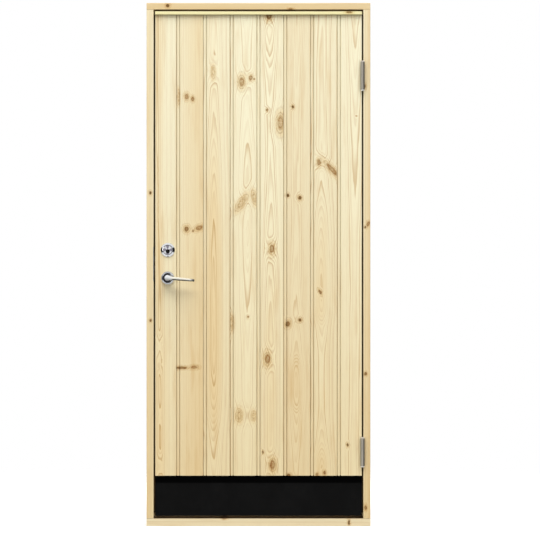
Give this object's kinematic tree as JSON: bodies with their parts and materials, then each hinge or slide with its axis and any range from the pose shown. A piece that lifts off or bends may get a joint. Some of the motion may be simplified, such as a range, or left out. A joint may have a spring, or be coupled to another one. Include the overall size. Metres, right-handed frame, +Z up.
{
  "type": "boarded shed door with frame",
  "caption": "Outward-opening pine door in a frame with planted stops, clad in upright beaded boards, with a black kick plate, knuckle hinges, a sprung lever handle and a round cylinder lock.",
  "frame": {"origin": "middle of the sill's underside, halfway through the frame's depth", "axes": "+X to the right as seen from outside, +Y from the outside face towards the inside, +Z up"},
  "size_m": [0.89, 0.164, 2.08],
  "materials": {
    "pine_boards": "planed, bare",
    "pine_frame": "planed, bare",
    "plywood": "sanded veneer, bare",
    "black_plate": "matt black coating",
    "seal_rubber": "matt",
    "chrome_trim": "polished",
    "zinc_steel": "zinc plated",
    "dark_steel": "blackened"
  },
  "bodies": {
    "frame": {"frame_head": "pine_frame", "frame_sill": "pine_frame", "latch_jamb": "pine_frame", "hinge_jamb": "pine_frame", "latch_stop": "pine_frame", "hinge_stop": "pine_frame", "head_stop": "pine_frame", "weather_seal": "seal_rubber", "strike_plate": "zinc_steel", "upper_hinge_frame_half": "zinc_steel", "lower_hinge_frame_half": "zinc_steel"},
    "leaf": {"board_1": "pine_boards", "board_2": "pine_boards", "board_3": "pine_boards", "board_4": "pine_boards", "board_5": "pine_boards", "board_6": "pine_boards", "board_7": "pine_boards", "board_8": "pine_boards", "latch_stile": "pine_frame", "hinge_stile": "pine_frame", "top_rail": "pine_frame", "lock_rail": "pine_frame", "bottom_rail": "pine_frame", "inner_sheet": "plywood", "top_strip": "pine_boards", "kick_plate": "black_plate", "lock_case": "zinc_steel", "latch_bolt": "zinc_steel", "dead_bolt": "zinc_steel", "outside_rose": "chrome_trim", "inside_rose": "chrome_trim", "cylinder_ring": "chrome_trim", "lock_cylinder": "chrome_trim", "key_plug": "dark_steel", "turn_rose": "chrome_trim", "thumb_turn": "chrome_trim", "upper_hinge_leaf_half": "zinc_steel", "lower_hinge_leaf_half": "zinc_steel"},
    "lever": {"outside_lever": "chrome_trim", "inside_lever": "chrome_trim", "spindle": "zinc_steel"}
  },
  "joints": [
    {"name": "leaf_hinge", "type": "hinge", "parent": "frame", "child": "leaf", "pos_m": [0.4139, -0.0615, 1.04], "axis": [0, 0, 1], "range_deg": [0, 170]},
    {"name": "lever_turn", "type": "hinge", "parent": "leaf", "child": "lever", "pos_m": [-0.3605, -0.0525, 0.9865], "axis": [0, 1, 0], "range_deg": [0, 45], "stiffness_Nm_per_rad": 1.5, "springref_deg": -22.92}
  ]
}
